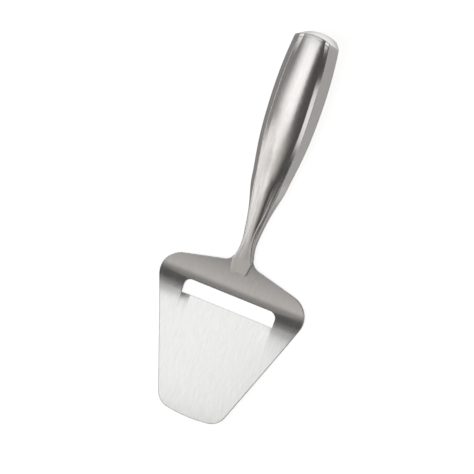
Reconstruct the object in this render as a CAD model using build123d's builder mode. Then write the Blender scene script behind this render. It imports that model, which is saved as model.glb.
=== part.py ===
from build123d import *
import os
from math import atan2, cos, degrees, hypot, radians, sin, sqrt, tan

# Cheese slicer of satin stainless steel, lying on its blade and its handle.
# Millimetres. X runs from the blade's tip to the handle's butt, Y to the left, Z up.

os.makedirs("parts", exist_ok=True)

# Fits shared by the pieces
clearance = 0.05             # gap round a tab or spigot in its seat
overrun = 5.0                # how far a cutting shape runs past what it cuts

# Blade plate, seen from above
sheet = 1.5                  # thickness of the stamped sheet
blade_length = 95.7          # tip to rear edge, on the axis
tip_width = 37.6             # across the tip, between its unrounded corners
tip_arc_radius = 82.0        # gentle bow of the tip
tip_corner_radius = 10.3
shoulder_width = 97.0        # across the rear, between its unrounded corners
shoulder_setback = 12.15     # from the rear edge on the axis to those corners
shoulder_radius = 13.2
root_width = 10.8            # where the plate runs into the neck
root_radius = 7.0
root_length = 1.3            # how far the plate's sides run behind its rear edge
tab_width = 7.6              # tab held in the neck
tab_length = 14.5            # from the rear edge
tab_corner_radius = 1.2
rim_chamfer = 0.25           # edges dulled all round the sheet

# Blade plate, seen from the side
bend_setback = 48.4          # from the rear edge to the end of the flat front
bend_radius = 176.0
bend_angle = 10.4            # degrees between the front and the shoulder

# Slot and cutting edge
slot_setback = 30.3          # from the rear edge to the cutting edge
slot_length = 8.75
slot_width = 56.4
slot_corner_radius = 4.1
lip_width = 45.0             # part of the cutting edge that stays in the front's plane
bevel_length = 2.4           # ground from below
edge_land = 0.2              # thickness left at the cutting edge

# Handle and neck, measured along the handle's own axis from the front of the neck
neck_start = 17.9            # from the end of the bend
seam_drop = 2.05             # widest line below the plate's top face
handle_droop = 1.2           # degrees between the shoulder and the handle
handle_length = 134.3        # neck front to the upper edge of the butt
handle_width = 30.5          # widest, between the side seams
handle_thickness = 18.8      # thickest, crown to crown
facet_width = 4.05           # largest plan width of the side facets
crown_height = 2.4           # largest rise of the face above its outer creases
wedge_width = 2.4            # plan width of the narrow facet beside each upper crease
wedge_height = 1.1           # its largest rise
crease_radius = 0.45
neck_radius = 2.4            # rounding of the neck's corners
seam_radius = 0.5
neck_side_radius = 3.0       # rounding of the neck's sides

# Tongue on the plate, and the jaw under it
tongue_reach = 9.4           # in front of the neck
tongue_root = 0.8            # run of the tongue inside the neck
tongue_tip_width = 9.7
tongue_rise = 1.3            # thickness above the plate
tongue_corner_radius = 1.4
tongue_edge_radius = 0.6
jaw_reach = 1.2              # in front of the neck
jaw_slope = 3.2              # run over which the jaw's front falls to its full depth

# Hollow of the handle
wall = 1.2
spigot_length = 14.0
butt_radius = 22.0           # plan rounding of the butt
butt_lean = 2.5              # degrees the butt is cut back towards its underside
cap_thickness = 1.8
cap_boss = 2.5               # how far the cap's boss reaches into the shells
cap_edge_radius = 0.3

# Where it lies
rest_flat = 0.1              # ground off the bevel's start and the handle's belly

# Cross sections from the neck's front to past the butt. Each row holds shares: station
# of handle_length, half width of handle_width, facet of facet_width, upper and lower
# crease height of handle_thickness, crown of crown_height, wedge of wedge_height, corner
# rounding between crease_radius and neck_radius, side rounding between seam_radius and
# neck_side_radius.
section_shares = [
    (-0.012, 0.203, 0.06, 0.173, 0.118, 0.02, 0.01, 0.08, 0.00),
    (0.015, 0.166, 0.06, 0.177, 0.118, 0.02, 0.01, 0.12, 0.05),
    (0.045, 0.148, 0.09, 0.182, 0.118, 0.02, 0.01, 0.40, 0.30),
    (0.085, 0.154, 0.20, 0.189, 0.118, 0.05, 0.02, 0.80, 0.80),
    (0.150, 0.191, 0.30, 0.196, 0.130, 0.17, 0.05, 0.95, 1.00),
    (0.250, 0.279, 0.59, 0.208, 0.162, 0.38, 0.14, 0.80, 0.45),
    (0.360, 0.374, 0.85, 0.223, 0.203, 0.58, 0.40, 0.40, 0.10),
    (0.480, 0.446, 0.88, 0.261, 0.258, 0.80, 0.70, 0.12, 0.00),
    (0.600, 0.488, 0.91, 0.310, 0.310, 0.95, 0.94, 0.02, 0.00),
    (0.720, 0.500, 0.98, 0.354, 0.354, 1.00, 1.00, 0.00, 0.00),
    (0.840, 0.485, 1.00, 0.381, 0.381, 0.92, 0.80, 0.00, 0.00),
    (0.930, 0.451, 1.00, 0.395, 0.395, 0.66, 0.45, 0.00, 0.00),
    (1.020, 0.397, 0.93, 0.400, 0.400, 0.24, 0.08, 0.00, 0.00),
]


def section_sizes(shares):
    """Real sizes of one cross section, by name."""
    station, width, facet, upper, lower, crown, wedge, corner, side = shares
    return {
        "station": station * handle_length,
        "half_width": width * handle_width,
        "facet": facet * facet_width,
        "upper": upper * handle_thickness,
        "lower": lower * handle_thickness,
        "crown": crown * crown_height,
        "wedge": wedge * wedge_height,
        "corner_radius": crease_radius + corner * (neck_radius - crease_radius),
        "side_radius": seam_radius + side * (neck_side_radius - seam_radius),
    }


sections = [section_sizes(shares) for shares in section_shares]

# The shells meet the neck at the sixth section
shell_sections = sections[5:]
shell_front = shell_sections[0]["station"]

# Places in the side view, in the flat front's own frame
slot_front = blade_length - slot_setback
slot_rear = slot_front + slot_length
bend_start = blade_length - bend_setback
bend_end = bend_start + bend_radius * sin(radians(bend_angle))
bend_rise = bend_radius * (1 - cos(radians(bend_angle)))
handle_angle = bend_angle - handle_droop


def beside_handle(station, height):
    """Side view place of a point at a station and height on the handle's axis."""
    rise = radians(handle_angle)
    turn = radians(bend_angle)
    root_x = bend_end + neck_start * cos(turn) + seam_drop * sin(turn)
    root_z = bend_rise + neck_start * sin(turn) - seam_drop * cos(turn)
    x = root_x + station * cos(rise) - height * sin(rise)
    z = root_z + station * sin(rise) + height * cos(rise)
    return x, z


# The slicer lies on the start of its ground bevel and on the handle's belly
rest_x = slot_front - bevel_length
rest_z = -sheet
belly = [beside_handle(s["station"], -s["lower"] - s["crown"]) for s in sections[1:]]
lie_angle = min(degrees(atan2(z - rest_z, x - rest_x)) for x, z in belly)

lie = radians(lie_angle)
butt_top = sections[-1]["upper"] + sections[-1]["crown"]
butt_base = sections[-1]["lower"] + sections[-1]["crown"]
butt_cut = (butt_top + butt_base) * tan(radians(butt_lean))
butt_ends = [beside_handle(handle_length, butt_top), beside_handle(handle_length - butt_cut, -butt_base)]
reach = max(x * cos(lie) + z * sin(lie) for x, z in butt_ends)
origin_x = -(reach - sheet * sin(lie)) / 2
origin_z = rest_x * sin(lie) - rest_z * cos(lie) - rest_flat

# Working planes: flat front, shoulder and handle
front_frame = Plane(
    origin=(origin_x, 0, origin_z),
    x_dir=(cos(lie), 0, -sin(lie)),
    z_dir=(sin(lie), 0, cos(lie)),
)
side_frame = Plane(origin=front_frame.origin, x_dir=front_frame.x_dir, z_dir=(0, -1, 0))
shoulder_frame = Plane(front_frame.location * Location((bend_end, 0, bend_rise), (0, -bend_angle, 0)))
handle_frame = Plane(
    shoulder_frame.location * Location((neck_start, 0, -seam_drop), (0, handle_droop, 0))
)
tongue_frame = Plane(shoulder_frame.location * Location((neck_start, 0, tongue_rise)))
butt_frame = Plane(handle_frame.location * Location((handle_length, 0, butt_top), (0, butt_lean, 0)))


def handle_plane(station):
    """Plane square to the handle's axis, its own x across and its own y up."""
    place = handle_frame.origin + handle_frame.x_dir * station
    return Plane(origin=place, x_dir=handle_frame.y_dir, z_dir=handle_frame.x_dir)


def bend_height(x):
    """Height of the sheet's top face over the bend, above the flat front."""
    return bend_radius - sqrt(bend_radius ** 2 - (x - bend_start) ** 2)


def bend_base(x):
    """Height of the sheet's underside over the bend, above the flat front."""
    return bend_radius - sqrt((bend_radius + sheet) ** 2 - (x - bend_start) ** 2)


def butt_region(radius):
    """Everything in front of the butt's rounded end, as a tall block."""
    with BuildPart() as region:
        with BuildSketch(butt_frame):
            with Locations((-butt_radius, 0)):
                Circle(radius)
            with Locations((-butt_radius - handle_length / 2, 0)):
                Rectangle(handle_length, 2 * radius)
        extrude(amount=2 * handle_thickness, both=True)
    return region.part


# Blade plate
def sheet_layer():
    """The sheet's whole side profile as a wide slab."""
    turn = radians(bend_angle)
    run = tab_length + blade_length - bend_start
    outer = bend_radius + sheet
    top_end = (bend_end, bend_rise)
    top_middle = (bend_start + bend_radius * sin(turn / 2), bend_radius * (1 - cos(turn / 2)))
    base_end = (bend_start + outer * sin(turn), bend_radius - outer * cos(turn))
    base_middle = (bend_start + outer * sin(turn / 2), bend_radius - outer * cos(turn / 2))
    top_far = (top_end[0] + run * cos(turn), top_end[1] + run * sin(turn))
    base_far = (base_end[0] + run * cos(turn), base_end[1] + run * sin(turn))
    with BuildPart() as slab:
        with BuildSketch(side_frame):
            with BuildLine():
                Line((-overrun, 0), (bend_start, 0))
                ThreePointArc((bend_start, 0), top_middle, top_end)
                Polyline(top_end, top_far, base_far, base_end)
                ThreePointArc(base_end, base_middle, (bend_start, -sheet))
                Polyline((bend_start, -sheet), (-overrun, -sheet), (-overrun, 0))
            make_face()
        extrude(amount=shoulder_width, both=True)
    return slab.part


def plate_outline():
    """Plan outline of the plate, its tail still as wide as its root."""
    tip_half = tip_width / 2
    tip_sag = tip_arc_radius - sqrt(tip_arc_radius ** 2 - tip_half ** 2)
    shoulder_x = blade_length - shoulder_setback
    shoulder_half = shoulder_width / 2
    root_half = root_width / 2
    root_x = blade_length - shoulder_setback * root_half / shoulder_half
    tail_end = blade_length + tab_length + overrun
    with BuildSketch(front_frame) as outline:
        with BuildLine():
            ThreePointArc((tip_sag, -tip_half), (0, 0), (tip_sag, tip_half))
            for side in (-1, 1):
                Polyline(
                    (tip_sag, side * tip_half),
                    (shoulder_x, side * shoulder_half),
                    (root_x, side * root_half),
                    (tail_end, side * root_half),
                )
            Line((tail_end, -root_half), (tail_end, root_half))
        make_face()
        fillet(outline.vertices().group_by(Axis.X)[0], tip_corner_radius)
        sides = outline.vertices().group_by(Axis.Y)
        fillet(sides[0] + sides[-1], shoulder_radius)
        near_root = outline.vertices().filter_by_position(Axis.Y, -root_width, root_width)
        fillet(near_root.group_by(Axis.X)[-2], root_radius)
    return outline.sketch


def tail_waste():
    """What is cut from the tail to leave the tab."""
    forward = (Align.MIN, Align.CENTER)
    with BuildSketch(front_frame) as waste:
        with Locations((blade_length + root_length, 0)):
            Rectangle(2 * tab_length, 2 * root_width, align=forward)
            Rectangle(tab_length - root_length, tab_width, align=forward, mode=Mode.SUBTRACT)
        fillet(waste.vertices().group_by(Axis.X)[1], tab_corner_radius)
    return waste.sketch


with BuildPart() as plate_blank:
    add(sheet_layer())
    add(plate_outline())
    extrude(amount=shoulder_width, both=True, mode=Mode.INTERSECT)
    upright = plate_blank.edges().filter_by(lambda edge: abs(edge.length - sheet) < clearance)
    chamfer(plate_blank.edges() - upright, rim_chamfer)
    add(tail_waste())
    extrude(amount=shoulder_width, both=True, mode=Mode.SUBTRACT)


def lip_profile(at_bridge):
    """Side profile of the lip: flat in the middle, following the bend at the slot's ends."""
    lift = bend_height(slot_front) if at_bridge else 0
    base = bend_base(rest_x) if at_bridge else -sheet
    with BuildLine() as profile:
        if at_bridge:
            middle = (bend_start + slot_front) / 2
            ThreePointArc((bend_start, 0), (middle, bend_height(middle)), (slot_front, lift))
        else:
            Line((bend_start, 0), (slot_front, 0))
        Polyline((slot_front, lift), (slot_front, lift - edge_land), (rest_x, base))
        if at_bridge:
            middle = (bend_start + rest_x) / 2
            ThreePointArc((rest_x, base), (middle, bend_base(middle)), (bend_start, -sheet))
        else:
            Line((rest_x, base), (bend_start, -sheet))
        Line((bend_start, -sheet), (bend_start, 0))
    return profile.line


with BuildPart() as blade_plate:
    add(plate_blank.part)
    # Slot behind the cutting edge, with round rear corners
    with BuildSketch(front_frame) as slot:
        with BuildLine():
            Polyline(
                (bend_start, -slot_width / 2),
                (bend_start, slot_width / 2),
                (slot_rear, slot_width / 2),
                (slot_rear, -slot_width / 2),
                close=True,
            )
        make_face()
        fillet(slot.vertices().group_by(Axis.X)[-1], slot_corner_radius)
    extrude(amount=shoulder_width, both=True, mode=Mode.SUBTRACT)
    # Lip: flat across the middle, running up to the bridges at both ends
    with BuildSketch(side_frame):
        add(lip_profile(False))
        make_face()
    extrude(amount=lip_width / 2, both=True)
    for side in (-1, 1):
        with BuildSketch(side_frame.offset(side * lip_width / 2)) as flat_end:
            add(lip_profile(False))
            make_face()
        with BuildSketch(side_frame.offset(side * slot_width / 2)) as bridge_end:
            add(lip_profile(True))
            make_face()
        loft(ruled=True)
    split(bisect_by=Plane.XY, keep=Keep.TOP)
blade_plate.part.label = "blade_plate"


# Handle form, shared by the neck, the shells and the cap
def section_face(sizes, inset):
    """One cross section on the handle's plane. Moved in by an inset, its creases stay plain."""
    upper = sizes["upper"] - inset
    lower = sizes["lower"] - inset
    half = sizes["half_width"] - inset * hypot(sizes["facet"], sizes["upper"]) / sizes["upper"]
    upper_half = half - sizes["facet"] * upper / sizes["upper"]
    lower_half = half - sizes["facet"] * lower / sizes["lower"]
    with BuildSketch(handle_plane(sizes["station"])) as section:
        with BuildLine():
            face_half = upper_half - wedge_width
            face_edge = upper + sizes["wedge"]
            ThreePointArc((-face_half, face_edge), (0, upper + sizes["crown"]), (face_half, face_edge))
            Polyline((face_half, face_edge), (upper_half, upper), (half, 0), (lower_half, -lower))
            ThreePointArc((lower_half, -lower), (0, -lower - sizes["crown"]), (-lower_half, -lower))
            Polyline((-lower_half, -lower), (-half, 0), (-upper_half, upper), (-face_half, face_edge))
        make_face()
        if not inset:
            off_seam = section.vertices().filter_by(lambda v: abs(v.Y) > clearance)
            creases = off_seam.filter_by(lambda v: abs(v.X) > face_half + clearance)
            fillet(creases, sizes["corner_radius"])
            ends = section.vertices().sort_by(Axis.X)
            fillet([ends[0], ends[-1]], sizes["side_radius"])
    return section.sketch


def handle_form(chosen, inset):
    """Smooth solid through the chosen sections."""
    with BuildPart() as form:
        loft(sections=[section_face(sizes, inset) for sizes in chosen])
    return form.part


outer_form = handle_form(sections, 0)
hollow_form = handle_form(shell_sections, wall)
fitted_form = handle_form(shell_sections, wall + clearance)

with BuildPart() as neck:
    add(outer_form)
    split(bisect_by=handle_plane(shell_front), keep=Keep.BOTTOM)
    # Jaw under the plate, its front sloped
    front = sections[0]["station"] - overrun
    depth = sections[0]["lower"] + overrun
    with BuildSketch(Plane(origin=handle_frame.origin, x_dir=handle_frame.x_dir, z_dir=(0, -1, 0))):
        with BuildLine():
            Polyline(
                (front, seam_drop - sheet),
                (-jaw_reach, seam_drop - sheet),
                (jaw_slope - jaw_reach, -sections[0]["lower"]),
                (jaw_slope - jaw_reach, -depth),
                (front, -depth),
                close=True,
            )
        make_face()
    extrude(amount=root_width, both=True, mode=Mode.SUBTRACT)
    # Tongue, lying along the plate
    with BuildPart(mode=Mode.PRIVATE) as tongue:
        with BuildSketch(tongue_frame) as tongue_plan:
            with BuildLine():
                tip_half = tongue_tip_width / 2
                flare_half = sections[0]["half_width"]
                root_half = flare_half - wall
                Polyline(
                    (-tongue_reach, tip_half),
                    (sections[0]["station"], flare_half),
                    (tongue_root, root_half),
                    (tongue_root, -root_half),
                    (sections[0]["station"], -flare_half),
                    (-tongue_reach, -tip_half),
                    close=True,
                )
            make_face()
            fillet(tongue_plan.vertices().group_by(Axis.X)[0], tongue_corner_radius)
        extrude(amount=-tongue_rise - sheet / 2)
        upward = Axis(tongue_frame.origin, tongue_frame.z_dir)
        fillet(tongue.faces().sort_by(upward)[-1].edges(), tongue_edge_radius)
    add(tongue.part)
    add(plate_blank.part, mode=Mode.SUBTRACT)
    # Spigot that the shells are pushed over
    with BuildPart(mode=Mode.PRIVATE) as spigot:
        add(fitted_form)
        split(bisect_by=handle_plane(shell_front + spigot_length), keep=Keep.BOTTOM)
    add(spigot.part)
neck.part.label = "neck"

with BuildPart() as shells:
    add(outer_form)
    split(bisect_by=handle_plane(shell_front), keep=Keep.TOP)
    add(butt_region(butt_radius - cap_thickness), mode=Mode.INTERSECT)
    add(hollow_form, mode=Mode.SUBTRACT)

with BuildPart() as handle_upper_shell:
    add(shells.part)
    split(bisect_by=handle_frame, keep=Keep.TOP)
handle_upper_shell.part.label = "handle_upper_shell"

with BuildPart() as handle_lower_shell:
    add(shells.part)
    split(bisect_by=handle_frame, keep=Keep.BOTTOM)
    split(bisect_by=Plane.XY, keep=Keep.TOP)
handle_lower_shell.part.label = "handle_lower_shell"

with BuildPart() as butt_cap:
    add(outer_form)
    add(butt_region(butt_radius), mode=Mode.INTERSECT)
    add(butt_region(butt_radius - cap_thickness), mode=Mode.SUBTRACT)
    with BuildPart(mode=Mode.PRIVATE) as boss:
        add(fitted_form)
        add(butt_region(butt_radius - cap_thickness / 2), mode=Mode.INTERSECT)
        add(butt_region(butt_radius - cap_thickness - cap_boss), mode=Mode.SUBTRACT)
    add(boss.part)
    backward = Axis(handle_frame.origin, handle_frame.x_dir)
    fillet(butt_cap.faces().sort_by(backward)[-1].edges(), cap_edge_radius)
butt_cap.part.label = "butt_cap"

for piece in (blade_plate, neck, handle_upper_shell, handle_lower_shell, butt_cap):
    export_step(piece.part, f"parts/{piece.part.label}.step")
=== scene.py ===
import math

import bpy
from mathutils import Matrix, Vector

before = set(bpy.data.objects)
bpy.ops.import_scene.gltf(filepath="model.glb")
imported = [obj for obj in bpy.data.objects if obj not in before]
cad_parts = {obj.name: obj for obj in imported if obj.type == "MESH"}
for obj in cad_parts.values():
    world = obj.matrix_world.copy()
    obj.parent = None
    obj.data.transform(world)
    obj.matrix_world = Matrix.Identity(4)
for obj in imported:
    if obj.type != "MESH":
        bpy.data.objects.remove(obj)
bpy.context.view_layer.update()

# Camera, in the frame's metres
CAMERA_PLACE = Vector((0.28278, -0.30181, 1.43036))
CAMERA_RIGHT = Vector((0.32526, -0.90818, -0.26347))
CAMERA_DOWN = Vector((-0.92514, -0.36329, 0.11017))
CAMERA_REACH = 10.0
IMAGE_SIZE = 474
FOCAL_PIXELS = 2655.0
SENSOR_WIDTH = 36.0

# Studio light: soft panels facing down. The places in X are where a panel's light starts to
# rise, is full, starts to fall and is gone. The places in Y say the same at X = 0, and shift
# back by the slant for each metre of X. Some panels are flagged off from some pieces.
NEUTRAL = (1.0, 1.0, 1.0)
WARM = (1.0, 0.96, 0.92)
HANDLE_PIECES = ("neck", "handle_upper_shell", "handle_lower_shell", "butt_cap")
PANELS = {
    "overhead": {
        "height": 0.5,
        "across_x": (-0.174, -0.162, 0.06, 0.095),
        "across_y": (-0.05, -0.015, 0.12, 0.5),
        "radiance": 1.4,
        "slant": 0.42,
    },
    "handle_left": {
        "height": 0.5,
        "across_x": (-0.4, -0.345, -0.174, -0.162),
        "across_y": (-0.54, -0.4, -0.29, -0.16),
        "radiance": 1.22,
        "slant": 3.0,
        "flagged_off": ("blade_plate",),
    },
    "blade_edge": {
        "height": 0.5,
        "across_x": (-0.196, -0.172, -0.174, -0.162),
        "across_y": (-0.4, 0.2, 0.3, 0.4),
        "radiance": 1.2,
        "flagged_off": HANDLE_PIECES,
    },
    "front_fill": {
        "height": 1.0,
        "across_x": (-0.62, -0.49, -0.446, -0.431),
        "across_y": (-0.25, 0.1, 0.4, 0.5),
        "radiance": 0.85,
        "colour": WARM,
    },
    "right_strip": {
        "height": 0.4,
        "across_x": (-0.25, -0.2, -0.05, -0.01),
        "across_y": (-0.43, -0.37, -0.28, -0.2),
        "radiance": 1.2,
    },
}

# Room: the radiance of the horizon and of the walls, on the right and on the left, the
# heights that the horizon and the right wall end at, and how much higher the left one goes
WORLD_COLOUR = (1.0, 0.965, 0.93, 1.0)
HORIZON_GLOW = (0.7, 2.4)
WALL_GLOW = (0.5, 0.3)
CEILING_GLOW = 0.08
HORIZON_TOP = (0.1, 0.25)
WALL_TOP = (0.32, 0.48)
LEFT_LIFT = 0.3
SIDE_PLACE = (-0.1, 0.1)

# Floor: its glow to the camera, on the right and on the left, and beyond the butt
FLOOR_SIZE = 6.0
FLOOR_GAP = 0.00002
FLOOR_COLOUR = (0.75, 0.75, 0.75, 1.0)
FLOOR_GLOW_COLOUR = (1.0, 1.0, 1.0, 1.0)
FLOOR_CAMERA_GLOW = 0.8
FLOOR_GLOW = (0.27, 0.0)
FLOOR_GLOW_PLACE = (-0.05, 0.06)
BUTT_GLOW = 0.9
BUTT_GLOW_PLACE = (0.113, 0.119)

# Brush marks: the length and width of the fine and the broad ones, along the object and
# slanting over the butt face
ALONG_MARKS = ((0.016, 0.0004, 0.0004), (0.033, 0.0011, 0.0011))
CAP_MARKS = ((0.0004, 0.007, 0.0004), (0.0011, 0.02, 0.0011))
CAP_SLANT = math.radians(40)
MARK_DETAIL = (4.0, 2.0)
NOISE_MIDDLE = (0.3, 0.7)
# Quarter turn between the brush marks and the streak of light across them
ACROSS_MARKS = 0.25
SATIN_SPREAD = 0.01
BRUSH_STRENGTH = 0.06
BRUSH_DEPTH = 0.00002
EDGE_SAMPLES = 8
# Least lean towards the tip of what faces up on the neck, whose weld is ground flush, and
# the upward share of a normal and the places in X over which that sets in
FLUSH_LEAN = -0.085
FLUSH_TOP = (0.7, 0.8)
FLUSH_PLACE = (-0.024, -0.0215)

# Steel of each kind: its tint, how rough and how streaked by the brush it is, how far its
# edges are broken, and how much the marks change its shade
HANDLE_STEEL = {
    "tint": (0.67, 0.655, 0.64),
    "roughness": 0.18,
    "anisotropy": 0.3,
    "edge": 0.0007,
    "contrast": 0.05,
    "sizes": ALONG_MARKS,
    "lengthwise": True,
}
STEELS = {
    "blade_steel": {
        "tint": (0.6, 0.6, 0.595),
        "roughness": 0.15,
        "anisotropy": 0.8,
        "edge": 0.0003,
        "contrast": 0.04,
        "sizes": ALONG_MARKS,
    },
    "handle_steel": HANDLE_STEEL,
    "neck_steel": {**HANDLE_STEEL, "flush": True},
    "cap_steel": {
        "tint": (0.69, 0.68, 0.665),
        "roughness": 0.2,
        "anisotropy": 0.4,
        "edge": 0.0002,
        "contrast": 0.08,
        "sizes": CAP_MARKS,
        "slant": CAP_SLANT,
    },
}
PIECE_STEELS = {
    "blade_plate": "blade_steel",
    "neck": "neck_steel",
    "handle_upper_shell": "handle_steel",
    "handle_lower_shell": "handle_steel",
    "butt_cap": "cap_steel",
}


def camera():
    """Camera at the photograph's viewing angle."""
    data = bpy.data.cameras.new("camera")
    data.sensor_width = SENSOR_WIDTH
    data.sensor_height = SENSOR_WIDTH
    data.lens = SENSOR_WIDTH * FOCAL_PIXELS / IMAGE_SIZE
    data.clip_end = CAMERA_REACH
    obj = bpy.data.objects.new("camera", data)
    bpy.context.scene.collection.objects.link(obj)
    back = -CAMERA_RIGHT.cross(CAMERA_DOWN)
    turn = Matrix((CAMERA_RIGHT, -CAMERA_DOWN, back)).transposed()
    obj.matrix_world = Matrix.LocRotScale(CAMERA_PLACE, turn.to_quaternion(), None)
    bpy.context.scene.camera = obj


def set_or_link(links, socket, value):
    """Give a socket a constant value, or link another node's output to it."""
    if isinstance(value, (float, tuple)):
        socket.default_value = value
    else:
        links.new(value, socket)


def vector_step(nodes, links, operation, *values):
    """One step of vector arithmetic on vectors that are given or linked."""
    step = nodes.new("ShaderNodeVectorMath")
    step.operation = operation
    for socket, value in zip(step.inputs, values):
        set_or_link(links, socket, value)
    return step


def scaled(nodes, links, vector, factor):
    """A vector times a linked factor."""
    step = vector_step(nodes, links, "SCALE", vector)
    links.new(factor, step.inputs["Scale"])
    return step.outputs["Vector"]


def vector_parts(nodes, links, vector):
    """The X, Y and Z of a vector."""
    split = nodes.new("ShaderNodeSeparateXYZ")
    links.new(vector, split.inputs["Vector"])
    return split.outputs


def product(nodes, links, first, second):
    """Two values multiplied."""
    times = nodes.new("ShaderNodeMath")
    times.operation = "MULTIPLY"
    for socket, value in zip(times.inputs, (first, second)):
        links.new(value, socket)
    return times.outputs["Value"]


def raised(nodes, links, value, slope, by):
    """A value raised by a slope times another value."""
    level = nodes.new("ShaderNodeMath")
    level.operation = "MULTIPLY_ADD"
    for socket, term in zip(level.inputs, (by, slope, value)):
        set_or_link(links, socket, term)
    return level.outputs["Value"]


def ramp(nodes, links, value, start, end):
    """Smooth step of a value from nought at start to one at end."""
    step = nodes.new("ShaderNodeMapRange")
    step.interpolation_type = "SMOOTHSTEP"
    step.inputs["From Min"].default_value = start
    step.inputs["From Max"].default_value = end
    links.new(value, step.inputs["Value"])
    return step.outputs["Result"]


def between(nodes, links, value, low, high, limits=(0.0, 1.0)):
    """Level that goes from low to high while a value goes from one limit to the other."""
    levels = nodes.new("ShaderNodeMapRange")
    levels.inputs["From Min"].default_value = limits[0]
    levels.inputs["From Max"].default_value = limits[1]
    set_or_link(links, levels.inputs["To Min"], low)
    set_or_link(links, levels.inputs["To Max"], high)
    links.new(value, levels.inputs["Value"])
    return levels.outputs["Result"]


def marks(nodes, links, size, slant, detail):
    """Noise drawn out into brush marks of the given size."""
    coords = nodes.new("ShaderNodeTexCoord")
    mapping = nodes.new("ShaderNodeMapping")
    mapping.vector_type = "TEXTURE"
    mapping.inputs["Scale"].default_value = size
    mapping.inputs["Rotation"].default_value = (slant, 0, 0)
    noise = nodes.new("ShaderNodeTexNoise")
    noise.inputs["Scale"].default_value = 1.0
    noise.inputs["Detail"].default_value = detail
    links.new(coords.outputs["Object"], mapping.inputs["Vector"])
    links.new(mapping.outputs["Vector"], noise.inputs["Vector"])
    return noise.outputs["Fac"]


def flush_lean(nodes, links, along, flat):
    """Lean of a normal along the handle, held back where the face looks up."""
    place = nodes.new("ShaderNodeNewGeometry").outputs["Position"]
    behind_tongue = ramp(nodes, links, vector_parts(nodes, links, place)["X"], *FLUSH_PLACE)
    facing_up = ramp(nodes, links, vector_parts(nodes, links, flat)["Z"], *FLUSH_TOP)
    on_top = product(nodes, links, facing_up, behind_tongue)
    leaning = vector_step(nodes, links, "MINIMUM", along, (FLUSH_LEAN, 0.0, 0.0))
    change = vector_step(nodes, links, "SUBTRACT", leaning.outputs["Vector"], along)
    partly = scaled(nodes, links, change.outputs["Vector"], on_top)
    return vector_step(nodes, links, "ADD", along, partly).outputs["Vector"]


def worn_normal(nodes, links, radius, lengthwise, flush):
    """Normal with the edges broken; lengthwise leaves the joints across the handle flush."""
    worn = nodes.new("ShaderNodeBevel")
    worn.samples = EDGE_SAMPLES
    worn.inputs["Radius"].default_value = radius
    if not lengthwise:
        return worn.outputs["Normal"]
    # Only the direction across the handle is taken from the worn normal
    flat = nodes.new("ShaderNodeNewGeometry").outputs["Normal"]
    flat_across = vector_step(nodes, links, "MULTIPLY", flat, (0.0, 1.0, 1.0))
    worn_across = vector_step(nodes, links, "MULTIPLY", worn.outputs["Normal"], (0.0, 1.0, 1.0))
    length = vector_step(nodes, links, "LENGTH", flat_across.outputs["Vector"])
    unit = vector_step(nodes, links, "NORMALIZE", worn_across.outputs["Vector"])
    across = scaled(nodes, links, unit.outputs["Vector"], length.outputs["Value"])
    along = vector_step(nodes, links, "MULTIPLY", flat, (1.0, 0.0, 0.0)).outputs["Vector"]
    if flush:
        along = flush_lean(nodes, links, along, flat)
    return vector_step(nodes, links, "ADD", along, across).outputs["Vector"]


def steel(
    name, tint, roughness, anisotropy, edge, contrast, sizes, slant=0.0, lengthwise=False, flush=False
):
    """Satin steel with brush marks, its edges broken by the brush."""
    material = bpy.data.materials.new(name)
    material.use_nodes = True
    nodes, links = material.node_tree.nodes, material.node_tree.links
    shader = nodes["Principled BSDF"]
    shader.inputs["Metallic"].default_value = 1.0
    shader.inputs["Anisotropic"].default_value = anisotropy
    shader.inputs["Anisotropic Rotation"].default_value = ACROSS_MARKS
    # The marks run along X, or at a slant over the butt face
    along = nodes.new("ShaderNodeCombineXYZ")
    along.inputs["X"].default_value = 0.0 if slant else 1.0
    along.inputs["Y"].default_value = math.cos(slant) if slant else 0.0
    along.inputs["Z"].default_value = math.sin(slant)
    links.new(along.outputs["Vector"], shader.inputs["Tangent"])
    fine = marks(nodes, links, sizes[0], slant, MARK_DETAIL[0])
    broad = marks(nodes, links, sizes[1], slant, MARK_DETAIL[1])
    satin = (roughness - SATIN_SPREAD, roughness + SATIN_SPREAD)
    links.new(between(nodes, links, broad, *satin, NOISE_MIDDLE), shader.inputs["Roughness"])
    shades = between(nodes, links, fine, 1 - contrast, 1 + contrast, NOISE_MIDDLE)
    links.new(scaled(nodes, links, tint, shades), shader.inputs["Base Color"])
    bump = nodes.new("ShaderNodeBump")
    bump.inputs["Strength"].default_value = BRUSH_STRENGTH
    bump.inputs["Distance"].default_value = BRUSH_DEPTH
    links.new(worn_normal(nodes, links, edge, lengthwise, flush), bump.inputs["Normal"])
    links.new(fine, bump.inputs["Height"])
    links.new(bump.outputs["Normal"], shader.inputs["Normal"])
    return material


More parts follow.
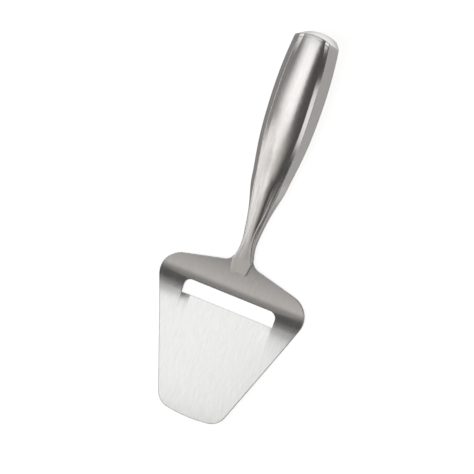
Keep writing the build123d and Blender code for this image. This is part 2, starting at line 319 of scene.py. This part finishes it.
def panel(name, height, across_x, across_y, radiance, slant=0.0, colour=NEUTRAL, flagged_off=()):
    """Light panel facing straight down with soft edges, not seen by the camera itself."""
    data = bpy.data.lights.new(name, "AREA")
    data.shape = "RECTANGLE"
    data.size = across_x[3] - across_x[0]
    shifts = [slant * across_x[0], slant * across_x[3]]
    low, high = across_y[0] - max(shifts), across_y[3] - min(shifts)
    data.size_y = high - low
    data.energy = radiance * math.pi * data.size * data.size_y
    data.color = colour
    data.use_nodes = True
    nodes, links = data.node_tree.nodes, data.node_tree.links
    place = nodes.new("ShaderNodeNewGeometry")
    parts = vector_parts(nodes, links, place.outputs["Position"])
    level = raised(nodes, links, parts["Y"], slant, parts["X"])
    edges = []
    for value, (start, full, fall, gone) in ((parts["X"], across_x), (level, across_y)):
        rise = ramp(nodes, links, value, start, full)
        drop = ramp(nodes, links, value, gone, fall)
        edges.append(product(nodes, links, rise, drop))
    links.new(product(nodes, links, *edges), nodes["Emission"].inputs["Strength"])
    obj = bpy.data.objects.new(name, data)
    bpy.context.scene.collection.objects.link(obj)
    obj.location = ((across_x[0] + across_x[3]) / 2, (low + high) / 2, height)
    obj.visible_camera = False
    if flagged_off:
        lit = bpy.data.collections.new(name + "_lights")
        for node_name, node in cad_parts.items():
            if node_name not in flagged_off:
                lit.objects.link(node)
        obj.light_linking.receiver_collection = lit


def floor_material():
    """Pale floor: white to the camera, and what the steel needs to reflect elsewhere."""
    material = bpy.data.materials.new("floor_white")
    material.use_nodes = True
    nodes, links = material.node_tree.nodes, material.node_tree.links
    shader = nodes["Principled BSDF"]
    shader.inputs["Base Color"].default_value = FLOOR_COLOUR
    shader.inputs["Roughness"].default_value = 1.0
    shader.inputs["Specular IOR Level"].default_value = 0.0
    shader.inputs["Emission Color"].default_value = FLOOR_GLOW_COLOUR
    place = nodes.new("ShaderNodeNewGeometry")
    parts = vector_parts(nodes, links, place.outputs["Position"])
    on_left = ramp(nodes, links, parts["Y"], *FLOOR_GLOW_PLACE)
    side_glow = between(nodes, links, on_left, *FLOOR_GLOW)
    past_butt = ramp(nodes, links, parts["X"], *BUTT_GLOW_PLACE)
    steel_glow = between(nodes, links, past_butt, side_glow, BUTT_GLOW)
    rays = nodes.new("ShaderNodeLightPath")
    glow = between(nodes, links, rays.outputs["Is Camera Ray"], steel_glow, FLOOR_CAMERA_GLOW)
    links.new(glow, shader.inputs["Emission Strength"])
    return material


def floor_object():
    """Plain square floor, a hair below the surface that the slicer lies on."""
    half = FLOOR_SIZE / 2
    sides = ((-half, -half), (half, -half), (half, half), (-half, half))
    mesh = bpy.data.meshes.new("floor")
    mesh.from_pydata([(x, y, -FLOOR_GAP) for x, y in sides], [], [(0, 1, 2, 3)])
    mesh.materials.append(floor_material())
    obj = bpy.data.objects.new("floor", mesh)
    bpy.context.scene.collection.objects.link(obj)
    return obj


def room():
    """World with a bright horizon, dimmer walls and a dark ceiling."""
    world = bpy.data.worlds.new("studio")
    world.use_nodes = True
    nodes, links = world.node_tree.nodes, world.node_tree.links
    sky = nodes.new("ShaderNodeTexCoord")
    parts = vector_parts(nodes, links, sky.outputs["Generated"])
    on_left = ramp(nodes, links, parts["Y"], *SIDE_PLACE)
    horizon = between(nodes, links, on_left, *HORIZON_GLOW)
    wall = between(nodes, links, on_left, *WALL_GLOW)
    above_horizon = ramp(nodes, links, parts["Z"], *HORIZON_TOP)
    sides = between(nodes, links, above_horizon, horizon, wall)
    lowered = raised(nodes, links, parts["Z"], -LEFT_LIFT, on_left)
    above_wall = ramp(nodes, links, lowered, *WALL_TOP)
    background = nodes["Background"]
    background.inputs["Color"].default_value = WORLD_COLOUR
    links.new(between(nodes, links, above_wall, sides, CEILING_GLOW), background.inputs["Strength"])
    bpy.context.scene.world = world


camera()
steels = {name: steel(name, **values) for name, values in STEELS.items()}
for name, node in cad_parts.items():
    node.data.materials.clear()
    node.data.materials.append(steels[PIECE_STEELS[name]])

for name, values in PANELS.items():
    panel(name, **values)
room()
floor = floor_object()
bpy.context.scene.view_settings.view_transform = "Standard"
